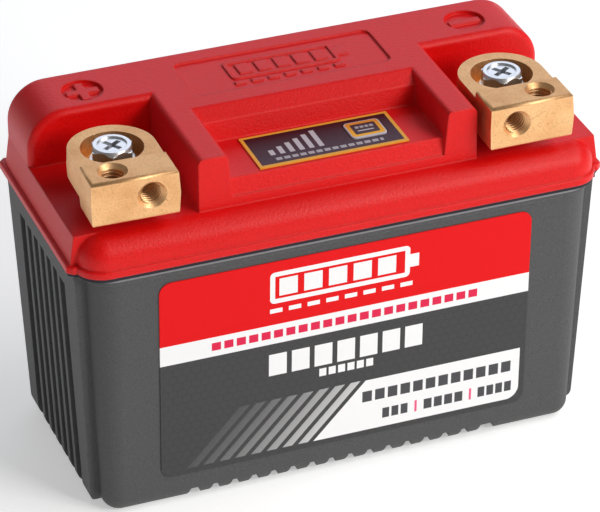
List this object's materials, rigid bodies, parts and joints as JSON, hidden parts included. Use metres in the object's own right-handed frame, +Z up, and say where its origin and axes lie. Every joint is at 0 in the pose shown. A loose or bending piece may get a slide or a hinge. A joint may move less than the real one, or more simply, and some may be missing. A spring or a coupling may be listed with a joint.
{
  "type": "motorcycle battery",
  "caption": "Sealed lithium motorcycle battery with a tapered ribbed case, clip-on lid, swivelling brass screw terminals and a charge display with a push-to-test button.",
  "frame": {"origin": "on the ground under the middle of the battery", "axes": "+X along the battery from the positive to the negative terminal, +Y from the label to the back, +Z up"},
  "size_m": [0.134, 0.065, 0.092],
  "materials": {
    "case_plastic": "fine texture",
    "lid_plastic": "fine texture",
    "seal_rubber": "matt",
    "label_print": "satin printed film",
    "display_print": "satin printed film",
    "button_plastic": "satin",
    "terminal_brass": "satin, as forged",
    "insert_brass": "turned",
    "zinc_steel": "bright zinc plating",
    "copper": "rolled copper",
    "cell_aluminium": "deep-drawn can",
    "foam": "matt foam",
    "tray_plastic": "moulded",
    "board_laminate": "coated board",
    "chip_plastic": "moulded",
    "resistor_ceramic": "matt",
    "led_lens": "clear lens",
    "pin_plating": "plated"
  },
  "bodies": {
    "battery": {"case": "case_plastic", "lid_seal": "seal_rubber", "lid": "lid_plastic", "front_label": "label_print", "display_panel": "display_print", "tact_switch": "chip_plastic", "display_board": "board_laminate", "charge_leds": "led_lens", "display_board_screws": "zinc_steel", "board_header": "chip_plastic", "positive_insert": "insert_brass", "negative_insert": "insert_brass", "strap_screws": "zinc_steel", "positive_strap": "copper", "negative_strap": "copper", "cell_pads": "foam", "cell_tray": "tray_plastic", "cell_frame": "tray_plastic", "cell_links": "copper", "sense_pins": "pin_plating", "balance_board": "board_laminate", "balance_board_screws": "zinc_steel", "board_chips": "chip_plastic", "balance_resistors": "resistor_ceramic", "cell_1": "cell_aluminium", "cell_2": "cell_aluminium", "cell_3": "cell_aluminium", "cell_4": "cell_aluminium"},
    "positive_terminal": {"positive_terminal": "terminal_brass"},
    "negative_terminal": {"negative_terminal": "terminal_brass"},
    "positive_washers": {"positive_flat_washer": "zinc_steel", "positive_spring_washer": "zinc_steel"},
    "negative_washers": {"negative_flat_washer": "zinc_steel", "negative_spring_washer": "zinc_steel"},
    "positive_screw": {"positive_screw": "zinc_steel"},
    "negative_screw": {"negative_screw": "zinc_steel"},
    "test_button": {"test_button": "button_plastic", "switch_plunger": "chip_plastic"}
  },
  "joints": [
    {"name": "positive_terminal_swing", "type": "hinge", "parent": "battery", "child": "positive_terminal", "pos_m": [-0.0507, -0.0123, 0.087], "axis": [0, 0, 1], "range_deg": [-2.5, 5.5]},
    {"name": "positive_screw_lift", "type": "slide", "parent": "battery", "child": "positive_washers", "axis": [0, 0, 1], "range_m": [0, 0.008]},
    {"name": "positive_screw_turn", "type": "hinge", "parent": "positive_washers", "child": "positive_screw", "pos_m": [-0.0507, -0.0123, 0.087], "axis": [0, 0, 1], "range_deg": [0, 2880]},
    {"name": "negative_terminal_swing", "type": "hinge", "parent": "battery", "child": "negative_terminal", "pos_m": [0.0468, -0.0123, 0.087], "axis": [0, 0, 1], "range_deg": [-4, 4]},
    {"name": "negative_screw_lift", "type": "slide", "parent": "battery", "child": "negative_washers", "axis": [0, 0, 1], "range_m": [0, 0.008]},
    {"name": "negative_screw_turn", "type": "hinge", "parent": "negative_washers", "child": "negative_screw", "pos_m": [0.0468, -0.0123, 0.087], "axis": [0, 0, 1], "range_deg": [0, 2880]},
    {"name": "test_button_press", "type": "slide", "parent": "battery", "child": "test_button", "axis": [0, 0, -1], "range_m": [0, 0.0004], "stiffness_N_per_m": 2500}
  ],
  "couplings": [
    {"joint": "positive_screw_turn", "follows": "positive_screw_lift", "rad_per_m": 6283.2},
    {"joint": "negative_screw_turn", "follows": "negative_screw_lift", "rad_per_m": 6283.2}
  ]
}
